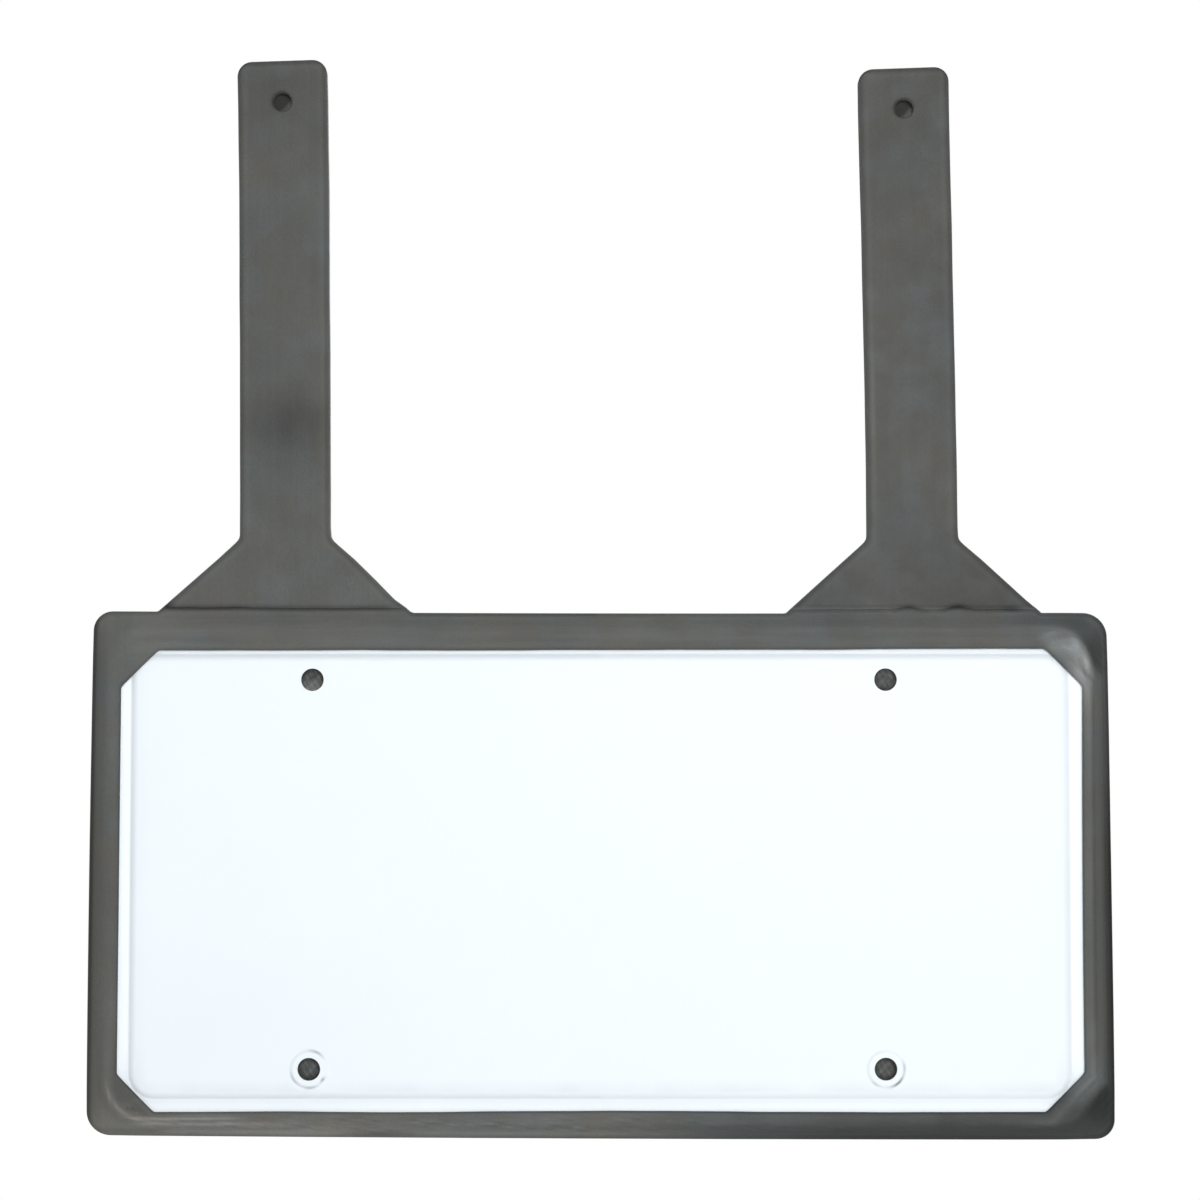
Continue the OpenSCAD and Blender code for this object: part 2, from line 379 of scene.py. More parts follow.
OUTER = loop(HALF_W, MID, HALF_H, FRAME_RADII, SQUARE)
WINDOW = loop(WINDOW_HALF_W, WINDOW_MID, WINDOW_HALF_H, SQUARE, WEB_LEGS)
CHANNEL = loop(PLATE_HALF_W + CHANNEL_GAP, PLATE_MID, PLATE_HALF_H + CHANNEL_GAP,
               CHANNEL_RADII, SQUARE)

# Rows of the frame's front, as shares of the way from the rim's shoulder to the lip
FRONT_ROWS = (0.04, 0.08, 0.13, 0.18, 0.24, 0.3, 0.37, 0.44, 0.51,
              0.58, 0.65, 0.72, 0.78, 0.84, 0.89, 0.93, 0.97, 1)


def flare_half(height):
    """Half the strap's width at a height above the frame's top edge."""
    line = FLARE_W * (1 - height / FLARE_H)
    return STRAP_HALF + FLARE_SOFT * np.logaddexp(0, line / FLARE_SOFT)


def flare_slope(height):
    return (flare_half(height) - flare_half(height + 0.1)) / 0.1


def root_bump(x):
    """How far the frame's top edge stands up where a strap grows out of it, trimmed unevenly."""
    humps = 0.8 * bell(x, 96.0, 3.2) + 0.8 * bell(x, 111.0, 3.4)
    total = np.zeros_like(x)
    for side, height, extra in ((LEFT, 1.5, 0), (RIGHT, 1.4, humps)):
        root = side * STRAP_X + STRAP_LEAN[side][0]
        room = (STRAP_HALF + FLARE_W - np.abs(x - root)) * FLARE_H / FLARE_W
        uneven = height + 0.15 * wave(x, 3, 16.0) + extra
        total += np.clip(np.minimum(uneven, 0.8 * room), 0, None)
    return total


def shift(across, up, right, left, top, bottom):
    """Moves that grow from the middle (0) to the sides and ends (1 and -1), in x and z."""
    dx = np.where(across > 0, right, left) * np.clip(np.abs(across), 0, 1) ** 2
    dz = np.where(up > 0, top, bottom) * np.clip(np.abs(up), 0, 1) ** 2
    return dx, dz


def outer_shift(x, z):
    """The rubber is not quite straight: its outer outline leaves the ideal one by up to 1 mm."""
    up = (z - MID) / HALF_H
    along = x / HALF_W
    right = bow(up, 0.9, 0.35, -0.3)
    left = bow(up, -0.3, -0.12, 0.6)
    top = bow(along, 0.55, -0.15, 0.1)
    bottom = bow(along, 0.85, -0.2, -0.5)
    return shift(along, up, right, left, top, bottom)


def window_shift(x, z):
    """The lips wander a little too, with a fine waviness at the top and the bottom."""
    up = (z - WINDOW_MID) / WINDOW_HALF_H
    along = x / WINDOW_HALF_W
    right = bow(up, 0.4, 0.25, 0.75)
    left = bow(up, 0.1, 0.3, 0.5)
    top = bow(along, -0.6, -0.5, 0.0) + 0.12 * wave(x, 11, 40.0)
    bottom = bow(along, -0.45, -0.1, -0.45) + 0.1 * wave(x, 12, 40.0)
    sags = bell(along, -0.42, 0.2) + bell(along, 0.55, 0.25)
    return shift(along, up, right, left, top, bottom - 0.3 * sags)


def corner_weight(x, z, side, end):
    """1 at one corner of the frame, 0 away from it."""
    return smooth(side * x, 122, 150) * smooth(end * (z - MID), HALF_H - 40, HALF_H - 12)


def past_plate(x, z):
    """Distance outwards from the plate's edge under the rubber."""
    return rectangle_distance(x, z, PLATE_HALF_W, PLATE_MID, PLATE_HALF_H, PLATE_CORNER_R)


def front_height(x, z):
    """The frame's front: a crest over the plate's edge, a fall beyond it, a slight one inside."""
    past = past_plate(x, z)
    right = smooth(x, 140, 152)
    upper_right = corner_weight(x, z, RIGHT, UPPER)
    lower_right = corner_weight(x, z, RIGHT, LOWER)
    lower_left = corner_weight(x, z, LEFT, LOWER)
    fall = 1.0 + 0.5 * right + 0.5 * upper_right + 0.3 * lower_right
    height = CREST - fall * smooth(past, -2.5, 7.5) * RIM_FALL
    ridge = 0.10 + 0.16 * right + 0.35 * upper_right + 0.2 * lower_right + 0.2 * lower_left
    height += ridge * bell(past, 0.3, 1.5)
    into_window = -rectangle_distance(x, z, WINDOW_HALF_W, WINDOW_MID, WINDOW_HALF_H, 1.0)
    height -= 0.55 * smooth(into_window, -6.5, 0.5)
    height += 0.05 * wave(x + 0.7 * z, 21, 30.0) + 0.03 * wave(x - 1.1 * z, 22, 11.0)
    return height


def frame_rows():
    """The frame's cross-section in rows, from its back round the rim and the lip to the channel.
    Each row has points and a share: 0 follows the outer outline, 1 the window's."""
    bumped = OUTER.copy()
    bumped[:, 1] += np.where(OUTER[:, 1] > TOP - 0.01, root_bump(OUTER[:, 0]), 0)
    count = len(OUTER)
    rows = []

    def row(points, d, share):
        depth = np.full(count, d) if np.isscalar(d) else d
        rows.append((np.column_stack([points, depth]), np.full(count, share)))

    for inset, d in ((3.0, 0.0), (0.5, 0.0), (0.15, 0.15)):
        row(pushed_in(OUTER, inset), d, 0)
    row(OUTER, BACK_EDGE, 0)
    shoulder = pushed_in(bumped, RIM_ROUND)
    foot = front_height(*shoulder.T) - RIM_ROUND
    for share in (0.12, 0.6):
        row(bumped, BACK_EDGE + (foot - BACK_EDGE) * share, 0)
    for degrees in (0, 14, 28, 42, 56, 70, 81, 90):
        turn = math.radians(degrees)
        inset = RIM_ROUND * (1 - math.cos(turn))
        row(pushed_in(bumped, inset), foot + RIM_ROUND * math.sin(turn), 0)
    lip = pushed_in(WINDOW, -LIP_NOSE_R)
    for share in FRONT_ROWS:
        points = shoulder + (lip - shoulder) * share
        row(points, front_height(*points.T), share)
    nose = front_height(*lip.T)
    for degrees in (30, 60, 90):
        turn = math.radians(degrees)
        inset = LIP_NOSE_R * math.sin(turn)
        row(pushed_in(lip, inset), nose - LIP_NOSE_R * (1 - math.cos(turn)), 1)
    row(WINDOW, LIP_BACK + 0.3, 1)
    row(pushed_in(WINDOW, -0.3), LIP_BACK, 1)
    for share in (0.5, 1.0):
        row(WINDOW + (CHANNEL - WINDOW) * share, LIP_BACK, 1 - share)
    row(CHANNEL, PLATE_BACK, 0)
    row(pushed_in(CHANNEL, 1.0), PLATE_BACK, 0)
    return rows


def make_frame():
    """The closed moulding: the ring of rows, and the channel's floor that fills its last row."""
    rows = frame_rows()
    count = len(OUTER)
    plan = np.concatenate([points for points, _ in rows])
    share = np.concatenate([weight for _, weight in rows])
    outer_x, outer_z = outer_shift(plan[:, 0], plan[:, 1])
    window_x, window_z = window_shift(plan[:, 0], plan[:, 1])
    placed = plan.copy()
    placed[:, 0] += outer_x * (1 - share) + window_x * share
    placed[:, 1] += outer_z * (1 - share) + window_z * share
    faces = ring_faces(len(rows), count)
    floor_rings = [placed[-count:, :2]]
    for hole_x, hole_z in HOLES:
        for r in (0.8, 1.6, 2.2, 2.7, 3.2, 3.7, 4.4):
            floor_rings.append(circle(hole_x, PLATE_MID + hole_z, r, 32))
    floor = np.concatenate(floor_rings)
    start = len(placed) - count
    faces += (triangles_inside(floor, floor_rings)[:, ::-1] + start).tolist()
    behind_holes = floor[count:]
    spots = np.column_stack([behind_holes, np.full(len(behind_holes), PLATE_BACK)])
    placed = np.concatenate([placed, spots])
    plan = np.concatenate([plan, spots])
    return new_object("rubber_frame", to_world(placed), faces, plan, FRAME_MARK)


# The straps

def strap_outline(inset=0.0):
    """A strap with its flared root, round its own middle line, clockwise from the lower left."""
    straight_from = FLARE_H + 14
    straight_to = STRAP_TIP - TOP - TIP_R - 0.6
    rise = np.concatenate([[-ROOT_SINK, -ROOT_SINK / 2, 0], np.arange(0.8, straight_from, 0.8),
                           np.arange(straight_from, straight_to, 1.2)])
    above = np.maximum(rise, 0)
    half = flare_half(above) - inset * np.sqrt(1 + flare_slope(above) ** 2)
    heights = np.where(rise < 0, rise * (1 - 0.12 * (inset > 0) - 0.2 * inset), rise)
    edge = np.stack([half, TOP + heights], axis=1)
    turn = np.linspace(0, math.pi / 2, 13)
    bend = arc(STRAP_HALF - TIP_R, STRAP_TIP - TIP_R, TIP_R - inset, turn)
    right = np.concatenate([edge, bend])
    left = right[::-1] * (-1, 1)
    tip = np.linspace(left[0], right[-1], 18)[1:-1]
    foot = np.linspace(right[0], left[-1], 60)[1:-1]
    foot[:, 1] -= 0.4 * (1 - (foot[:, 0] / right[0, 0]) ** 2)
    return np.concatenate([left[::-1], tip, right[::-1], foot])


def edge_drift(side, x, z):
    """How far a strap's left and right edge drift sideways, by the height above the frame."""
    height = z - TOP
    if side == LEFT:
        left = np.interp(height, (4, 16.6, 24), (0, 0.4, 0.3))
        right = np.interp(height, (1.5, 4.2, 10.2, 16.6, 22.7, 27), (0, -0.8, 0, 0.55, 0.3, 0))
    else:
        left = np.interp(height, (10, 30, 60, 110, 160), (0, 0.2, 0.3, 0.25, 0.05))
        right = np.interp(height, (1.5, 4.2, 16.6, 27), (0, -0.2, 0.35, 0))
    return left * smooth(-x, 0, 14) + right * smooth(x, 0, 14)


def strap_warp(side):
    """The straps lean, stretch and waver a little, each in its own way."""

    def warp(plan):
        placed = plan.copy()
        x = plan[:, 0]
        z = plan[:, 1]
        up = np.clip((z - TOP) / (STRAP_TIP - TOP), 0, 1)
        lean = bow(2 * up - 1, *STRAP_LEAN[side])
        placed[:, 0] += side * STRAP_X + lean + edge_drift(side, x, z)
        placed[:, 0] += 0.12 * wave(z, 40 + side, 50.0) * smooth(up, 0.05, 0.2)
        placed[:, 1] += STRAP_STRETCH[side] * up + TIP_TILT[side] * x * smooth(up, 0.75, 1)
        return placed

    return warp


def seam_rows():
    """Extra points just above a strap's seam with the frame, for its fillet and its crease."""
    across, above = np.meshgrid(np.arange(-38, 38, 1.1), np.arange(0.7, 4.5, 0.5))
    rows = np.stack([across.ravel(), TOP + above.ravel()], axis=1)
    return rows[np.abs(rows[:, 0]) < flare_half(rows[:, 1] - TOP) - 4]


def make_strap(side):
    """A flat strap with rounded front edges, a softened hole and a fillet at the frame."""
    outline = strap_outline()
    turns = [math.radians(degrees) for degrees in (18, 36, 54, 72, 90)]
    insets = [STRAP_ROUND * (1 - math.cos(turn)) for turn in turns]
    drops = [STRAP_ROUND * (1 - math.sin(turn)) for turn in turns]
    rings = [strap_outline(inset) for inset in [*insets, 1.1, 1.7, 2.4, 3.2]]
    hole = circle(0, STRAP_HOLE_Z, STRAP_HOLE_R, STRAP_HOLE_STEPS)
    for step in (0.12, 0.4, 1.0):
        rings.append(circle(0, STRAP_HOLE_Z, STRAP_HOLE_R + step, STRAP_HOLE_STEPS))
    ahead = np.roll(outline, -1, axis=0)
    dense = np.concatenate([outline + (ahead - outline) * part for part in (0, 0.25, 0.5, 0.75)])

    def front(x, z):
        from_edge = nearest(np.stack([x, z], axis=1), dense)
        from_edge = np.where(from_edge < 0.02, 0, from_edge)
        drop = np.interp(from_edge, [0, *insets], [STRAP_ROUND, *drops])
        drop = drop * smooth(z, TOP - 1.5, TOP - 0.5)
        from_hole = np.hypot(x, z - STRAP_HOLE_Z) - STRAP_HOLE_R
        drop = drop + 0.35 * (1 - smooth(from_hole, -0.05, 0.4))
        above = z - TOP
        fillet = ROOT_FILLET[side] * smooth(above, -1.8, 0.4) * (1 - smooth(above, 1.3, 2.6))
        return STRAP_T - drop + fillet

    def back(x, z):
        return np.zeros_like(x)

    return sheet("strap", outline, [hole], rings, 1.5, front, back,
                 strap_warp(side), STRAP_MARK, seam_rows())


def join(base, extra):
    """Unites the extra piece with the base, and keeps the marks of both."""
    union = base.modifiers.new("union", "BOOLEAN")
    union.operation = "UNION"
    union.solver = "MANIFOLD"
    union.object = extra
    united = base.evaluated_get(bpy.context.evaluated_depsgraph_get())
    joined = bpy.data.meshes.new_from_object(united)
    base.modifiers.clear()
    base.data = joined
    bpy.data.objects.remove(extra)


# Painted light and shade on the rubber, with its own blotches: how light it is, in steps of an
# 8-bit grey. Most terms are an amount times bell or smooth of a distance in mm.

PLAIN_LEVEL = 97
DARKEST = 25
LIGHTEST = 200
SCREEN_GAMMA = 2.2
RIM_BLEND = 2.2


def grey(level):
    """A level against the rubber's plain one, as a factor on its colour."""
    return (np.clip(level, DARKEST, LIGHTEST) / PLAIN_LEVEL) ** SCREEN_GAMMA


def window_gap(x, z):
    """Distance outwards from the window's edge, its cut corners included."""
    straight = rectangle_distance(x, z, WINDOW_HALF_W, WINDOW_MID, WINDOW_HALF_H, 0.5)
    cut = WINDOW_HALF_W + WINDOW_HALF_H - WEB_LEG
    slant = (np.abs(x) + np.abs(z - WINDOW_MID) - cut) * math.sqrt(0.5)
    return np.maximum(straight, slant)


def left_rim_level(from_edge, up):
    """Painted light and shade: a highlight on the outer edge, a shaded line inside it, and a duller
    middle.
    """
    dark_line = 24 * bell(from_edge, 0.9, 0.8)
    outer_half = 9 * (1 - smooth(from_edge, 1.5, 6))
    middle = 8 * bell(up, 0, 0.5)
    upper_half = 2 * smooth(up, 0, 1)
    light_edge = 22 * bell(from_edge, 0, 0.3)
    return 104 - dark_line - outer_half - middle - upper_half + light_edge


def right_rim_level(gap, up):
    """Painted light and shade: a highlight and a shaded line beside the window, and a shaded outer
    half, darkest low down.
    """
    light_line = 8 * bell(gap, 1.9, 0.9)
    dark_line = 15 * bell(gap, 3.5, 0.8)
    outer_half = 35 * smooth(gap, 4.8, 8.6)
    upper_half = 5 * smooth(up, 0, 1)
    low_dark = 15 + 3 * bell(up, 0.1, 0.4) + 4 * smooth(-up, 0.2, 0.8)
    lower_half = 4 + low_dark * smooth(0.5 - up, 0, 0.5) * smooth(gap, 4.8, 8.0)
    streaks = 6 * wave(gap, 93, 0.8) * smooth(gap, 1, 2)
    return 100 + light_line - dark_line - outer_half + upper_half - lower_half + streaks


def top_rim_level(x, along, from_edge):
    """Painted light and shade: lighter towards the window, with a painted highlight on the edge
    clear of the straps, and a duller right end.
    """
    inner_half = 5 * smooth(from_edge, 2, 9)
    clear_of_straps = smooth(np.abs(np.abs(x) - STRAP_X), 38, 43)
    light_edge = 12 * clear_of_straps * bell(from_edge, 0, 0.35)
    left_end = 9 * bell(along, -0.92, 0.12)
    right_end = (2 + 4 * (1 - smooth(from_edge, 3, 7))) * smooth(x, 55, 75)
    return 98 + inner_half + light_edge + left_end - right_end


def bottom_rim_level(x, z, gap, along, from_edge):
    """Painted light at the left and painted shade at the right, blotchy, with painted highlight
    lines near the left corner.
    """
    places = (-1, -0.6, 0, 0.5, 0.9)
    inner_half = np.interp(along, places, (99, 104, 103, 84, 74))
    outer_half = np.interp(along, places, (112, 122, 104, 65, 64))
    level = inner_half + (outer_half - inner_half) * smooth(gap, 1, 6)
    before_corner = 1 - smooth(-along, 0.87, 0.93)
    upper_lines = 46 * bell(from_edge, 6.3, 0.6) + 14 * bell(gap, 0.9, 0.8)
    lower_line = 32 * bell(from_edge, 4.45, 0.7)
    level += smooth(-along, 0.66, 0.76) * before_corner * upper_lines
    level += smooth(-along, 0.58, 0.72) * before_corner * lower_line
    level -= 20 * smooth(-along, 0.82, 0.88) * bell(from_edge, 1.7, 0.9)
    level -= 27 * bell(along, -0.43, 0.07) * bell(from_edge, 1.4, 1.2)
    level += 9 * bell(from_edge, 1.6, 0.9) * (1 - smooth(along, 0.1, 0.3))
    blotches = 26 * wave(x + 1.5 * z, 91, 6.0) * wave(z + 0.05 * x, 94, 1.2)
    return level + blotches * bell(gap, 4.0, 2.6) * (1 - 0.7 * smooth(along, 0, 0.3))


def frame_level(x, z):
    """The frame's front in painted light and shade: its four rims, each fading into the next round
    the corners, and a line along the lip's edge, lighter at the right and darker elsewhere.
    """
    gap = window_gap(x, z)
    along = x / HALF_W
    up = (z - MID) / HALF_H
    from_edges = np.stack([HALF_W + x, HALF_W - x, TOP - z, z - BOTTOM])
    share = np.exp(-np.clip(from_edges, 0, 60) / RIM_BLEND)
    share /= share.sum(axis=0)
    level = share[0] * left_rim_level(from_edges[0], up)
    level += share[1] * right_rim_level(gap, up)
    level += share[2] * top_rim_level(x, along, from_edges[2])
    level += share[3] * bottom_rim_level(x, z, gap, along, from_edges[3])
    lip_edge = (14 * share[1] - 7) * bell(gap, 0.3, 0.6)
    return level + lip_edge


def upper_right_level(x, z, past, turn):
    """Painted light on the web stretched over the plate's upper right corner, the lightest place of
    all, with a painted highlight on its ridge, a shaded line beside it, and painted light and shade
    beyond the corner.
    """
    web = smooth(turn, -75, 0) * (1 - smooth(turn, 85, 125)) * ((x > 0) & (z > PLATE_MID))
    middle = smooth(turn, -10, 15) * (1 - smooth(turn, 42, 68))
    upper = smooth(turn, 45, 75)
    glow = 48 * (1 - 0.3 * upper) * bell(past, -3.8 - 0.8 * upper, 3.4)
    ridge = (14 * (1 - upper) + 36 * middle) * bell(past, -1.6, 0.9)
    dark_line = 14 * bell(past, 0.5, 0.8) * middle
    wrinkles = 18 * wave(past * 3 + turn * 0.2, 61, 6.0) * bell(past, -3, 2.5)
    beyond = (4 - 12 * smooth(turn, 35, 60)) * smooth(past, 0.2, 3.5)
    return web * (glow + ridge - dark_line + wrinkles) + beyond * corner_weight(x, z, RIGHT, UPPER)


def lower_right_level(x, z, past, gap):
    """A blotchy band of painted light along the lower right web, and a little painted light beyond
    it.
    """
    band = (20 + 9 * wave(x - z, 62, 5.0)) * bell(gap, 3.2, 1.5)
    beyond = 4 * smooth(past, -1.5, 3.5)
    return (band + beyond) * corner_weight(x, z, RIGHT, LOWER)


def lower_left_level(x, z, past, turn):
    """A painted highlight line over the plate's lower left corner, a web in painted shade inside
    it, and painted light beyond.
    """
    line = 25 * bell(past, -0.6, 0.55) * smooth(turn, -12, 25)
    web = 13 * smooth(-past, 0.8, 3.0)
    beyond = 5 * smooth(past, 0.5, 4)
    return (line - web + beyond) * corner_weight(x, z, LEFT, LOWER)


def corner_level(x, z):
    """The painted light and shade that the corners add to the rims."""
    past = past_plate(x, z)
    at_x = np.abs(x) - PLATE_HALF_W + PLATE_CORNER_R
    at_z = np.abs(z - PLATE_MID) - PLATE_HALF_H + PLATE_CORNER_R
    turn = np.degrees(np.arctan2(at_z, at_x))
    level = upper_right_level(x, z, past, turn)
    level += lower_right_level(x, z, past, window_gap(x, z))
    level += lower_left_level(x, z, past, turn)
    return level


def crease_strength(x):
    """How dark the painted shade of the crease is where a strap grows out of the frame, along it.
    """
    left = 0.9 * smooth(x, -138, -134) * (1 - smooth(x, -116, -106))
    left += 0.55 * smooth(x, -116, -106) * (1 - smooth(x, -70, -60))
    right = 0.9 * bell(x, 96, 3.2) + 0.9 * bell(x, 111, 3.4) - 0.35
    right += 0.5 * smooth(x, 104, 112) * (1 - smooth(x, 129, 133)) + 0.5 * bell(x, 127.5, 2.2)
    return np.where(x < 0, left, right)


def seam_level(x, above_seam):
    """Painted shade and light at the straps' seams: a shaded crease, darkest at the left end, and
    two painted highlights.
    """
    crease = 34 * crease_strength(x) * bell(above_seam, -0.1, 0.9)
    left_end = 30 * bell(x, -135.0, 1.8) * bell(above_seam, 0.9, 1.2)
    lights = 9 * (bell(x, 89.6, 1.4) + bell(x, 103.8, 1.6)) * bell(above_seam, -1.0, 0.6)
    return lights - crease - left_end


def strap_level(x, z, side):
    """Painted light and shade on a strap: highlights on its edges, a shaded line inside them, then
    a lighter band, and painted shade round the hole.
    """
    above = np.maximum(z - TOP, 0)
    from_edge = (flare_half(above) - np.abs(x)) / np.sqrt(1 + flare_slope(above) ** 2)
    from_edge = np.minimum(from_edge, STRAP_TIP - z)
    light_edge = 34 * bell(from_edge, 0, 0.35)
    dark_line = 12 * bell(from_edge, 1.0, 0.6)
    light_band = 5 * bell(from_edge, 2.2, 0.9)
    level = 95 + light_edge - dark_line + light_band + 1.5 * wave(z, 71 + side, 40.0)
    over_hole = z - STRAP_HOLE_Z
    from_middle = np.hypot(x, over_hole)
    from_hole = from_middle - STRAP_HOLE_R
    # Painted shade round the hole, darkest at its upper left
    to_upper_left = 0.5 + 0.5 * (over_hole - x) / np.maximum(from_middle, 0.1)
    level -= 20 * bell(from_hole, 0.25, 0.6) * np.clip(to_upper_left, 0, 1)
    # Painted light on the hole's wall, which lies in shade
    level = np.where((from_hole < 0.02) & (over_hole > -1), 115, level)
    if side == LEFT:
        blotch = 24 * bell(z, -101, 9.5) * bell(x, 0, 13)
        over_tip = 5 * bell(z, 5.5, 2) * bell(x, 0, 6)
        foot = 4 * (1 - smooth(above, 8, 26))
        return level - 6 * smooth(z, -30, -4) - blotch - over_tip + foot
    left_edge = 12 * bell(z, -92, 26) * bell(x, 2.2 - STRAP_HALF, 1.0)
    foot = (5 + 5 * smooth(x, -10, 25)) * (1 - smooth(above, 12, 28))
    return level - 6 - 2 * smooth(z, -12, 6) + 2 * bell(z, -112, 20) + left_edge - foot


def behind_hole_level(x, z, hole_x, hole_z):
    """Rubber behind a hole of the plate: blotchy, with painted shade at the edge, and painted light
    in the upper left one.
    """
    down = PLATE_MID + hole_z - z
    is_upper = hole_z > 0
    is_upper_left = is_upper and hole_x < 0
    lit = np.clip(down / 3, 0, 1) * is_upper_left
    right_side = (x > hole_x) * (not is_upper)
    rim = (38 + 20 * right_side) * smooth(np.hypot(x - hole_x, down), 1.7, 3.4) * (1 - lit)
    blotch = 20 * wave(x * 1.7 + z, 81, 1.3) + 16 * wave(z - x, 83, 1.6)
    dark_spot = 26 * bell(np.hypot(x - hole_x, down + 0.6), 0, 0.8) * is_upper
    top_shade = 16 * np.clip(-down / 2, 0, 1) * is_upper_left
    return 90 - rim + blotch - dark_spot + 45 * lit - top_shade


def rubber_warmth(x, z):
    """Brownish at the lower left, bluish at the corners and the lower lip of the right half."""
    lower_lip = smooth(BOTTOM + 10 - z, 0, 3)
    warm = np.maximum(corner_weight(x, z, LEFT, LOWER), smooth(-x, 60, 130) * lower_lip)
    corners = corner_weight(x, z, RIGHT, UPPER) + corner_weight(x, z, RIGHT, LOWER)
    cool = np.maximum(corners, smooth(x, 10, 60) * lower_lip)
    return 0.10 * warm - 0.16 * cool


def paint_holder(mesh):
    """The rubber's fields: painted light and shade with its own blotches, its warmth, the way it
    flowed, and what faces the front.
    """
    plan = read_field(mesh, "plan", "vector", 3)
    part = read_field(mesh, "part", "value", 1)
    placed = placed_points(mesh)
    marked = part > FRAME_MARK / 2
    on_strap = part > (FRAME_MARK + STRAP_MARK) / 2
    on_frame = marked & ~on_strap
    x = np.where(on_frame, plan[:, 0], placed[:, 0])
    z = np.where(marked, plan[:, 1], placed[:, 1])
    level = frame_level(x, z) + corner_level(x, z)
    for side in (LEFT, RIGHT):
        pick = on_strap & ((placed[:, 0] < 0) == (side == LEFT))
        level[pick] = strap_level(plan[pick, 0], plan[pick, 1], side)
    level += seam_level(placed[:, 0], z - TOP - root_bump(placed[:, 0]))
    on_floor = on_frame & (placed[:, 2] < LIP_BACK - 0.2) & (window_gap(x, z) < 2)
    for hole_x, hole_z in HOLES:
        near = np.hypot(x - hole_x, z - PLATE_MID - hole_z) < 6
        level = np.where(on_floor & near, behind_hole_level(x, z, hole_x, hole_z), level)
    front = smooth(placed[:, 2], 1.0, 2.4)
    # The painted light and shade, with the rubber's own blotches, as a factor on its colour
    tone_and_painted_light = np.where(on_floor, grey(level), 1 + (grey(level) - 1) * front)
    write_field(mesh, "front", front)
    write_field(mesh, "tone_and_painted_light", tone_and_painted_light)
    write_field(mesh, "warm", rubber_warmth(x, z) * on_frame)
    write_field(mesh, "flow", on_frame & (np.abs(x) < 146))


def make_holder():
    """The whole moulding in one piece: frame, webs, back panel and both straps."""
    holder = make_frame()
    for side in (LEFT, RIGHT):
        join(holder, make_strap(side))
    mesh = holder.data
    paint_holder(mesh)
    mesh.shade_smooth()
    mesh.set_sharp_from_angle(angle=math.radians(38))
    holder.name = "rubber_holder"
    mesh.name = "rubber_holder"
    return holder


# The number plate

# Rings of points, as steps inwards from the bevel's foot and outwards from a seat's edge. Rings
# may not cross, and the bevel's last one just clears a seat's last one.
BEVEL_STEPS = (-0.8, -0.3, 0.0, 0.3, 0.6, 0.9, 1.2, 1.6, 2.0, 2.5)
SEAT_STEPS = (-1.3, -1.0, -0.75, -0.5, -0.25, 0, 0.25, 0.5)

# Arcs of painted shade beside the two seats: middle and spread in degrees, strength, radius in mm
LEFT_SEAT_ARCS = ((66, 24, 0.50, 5.75), (-37, 9, 0.60, 5.3), (-86, 24, 0.42, 5.7),
                  (-145, 24, 0.38, 5.7))
RIGHT_SEAT_ARCS = ((-48, 24, 0.80, 5.75), (5, 20, 0.34, 5.8), (-125, 16, 0.26, 5.7))
ARC_WIDTH = 0.4


def past_flange(x, z):
    """Distance inwards from where the flange ends and the bevel of the raised panel starts."""
    return -rectangle_distance(x, z, PANEL_HALF_W, PANEL_MID, PANEL_HALF_H, PANEL_R)


def plate_height(x, z):
    """How far the pressed front stands out from the flange."""
    rise = PANEL_RISE * (1 - (1 - np.clip(past_flange(x, z) / BEVEL_W, 0, 1)) ** 2)
    for hole_x, hole_z in HOLES[2:]:
        away = np.hypot(x - hole_x, z - PLATE_MID - hole_z)
        rise = rise + SEAT_H * (1 - smooth(away, SEAT_R - 1.0, SEAT_R))
    return rise + 0.05 * wave(x + 0.4 * z, 31, 70.0)


def seat_shade(x, z):
    """Painted shade in grey arcs beside the pressed seats."""
    shade = np.zeros(len(x))
    for (hole_x, hole_z), arcs in zip(HOLES[2:], (LEFT_SEAT_ARCS, RIGHT_SEAT_ARCS)):
        away = np.hypot(x - hole_x, z - PLATE_MID - hole_z)
        turn = np.degrees(np.arctan2(z - PLATE_MID - hole_z, x - hole_x))
        for middle, spread, strength, radius in arcs:
            off = (turn - middle + 180) % 360 - 180
            near = away < SEAT_R + ARC_WIDTH
            shade += strength * bell(off, 0, spread) * bell(away, radius, ARC_WIDTH) * near
    return shade


def paint_plate(mesh):
    """Painted light and shade on the coating: flange, bevel and seats catch the light differently.
    """
    placed = placed_points(mesh)
    x = placed[:, 0]
    z = placed[:, 1]
    past = past_flange(x, z)
    low = smooth(PLATE_MID - z, 50, 66)
    high = smooth(z - PLATE_MID, 60, 66)
    # Painted light on the flange at the sides and the bottom, painted shade on it under the top
    # lip, painted shade at the bevel's foot and, low down, at its top, and darker towards the lower
    # left
    flange = (0.12 - 0.19 * high - 0.13 * low) * (1 - smooth(past, -0.6, 0))
    low_flange = 0.16 * low * (1 - smooth(past, -3.3, -1.6))
    strength = 0.01 + 0.03 * low * smooth(-x, 40, 110) + 0.03 * high + 0.05 * (x < 0)
    bevel_foot = smooth(past, -0.3, 0.3) * bell(past, 0.3, 1.4) * strength
    bevel_top = (0.05 + 0.04 * wave(x, 33, 20.0)) * bell(past, 2.6, 0.5) * low
    lower_left = 0.015 * smooth(-x, 20, 130) * smooth(PLATE_MID - z, 0, 55)
    tone_and_painted_light = 1 - seat_shade(x, z) + flange + low_flange - bevel_foot - bevel_top - lower_left
    write_field(mesh, "tone_and_painted_light", tone_and_painted_light)


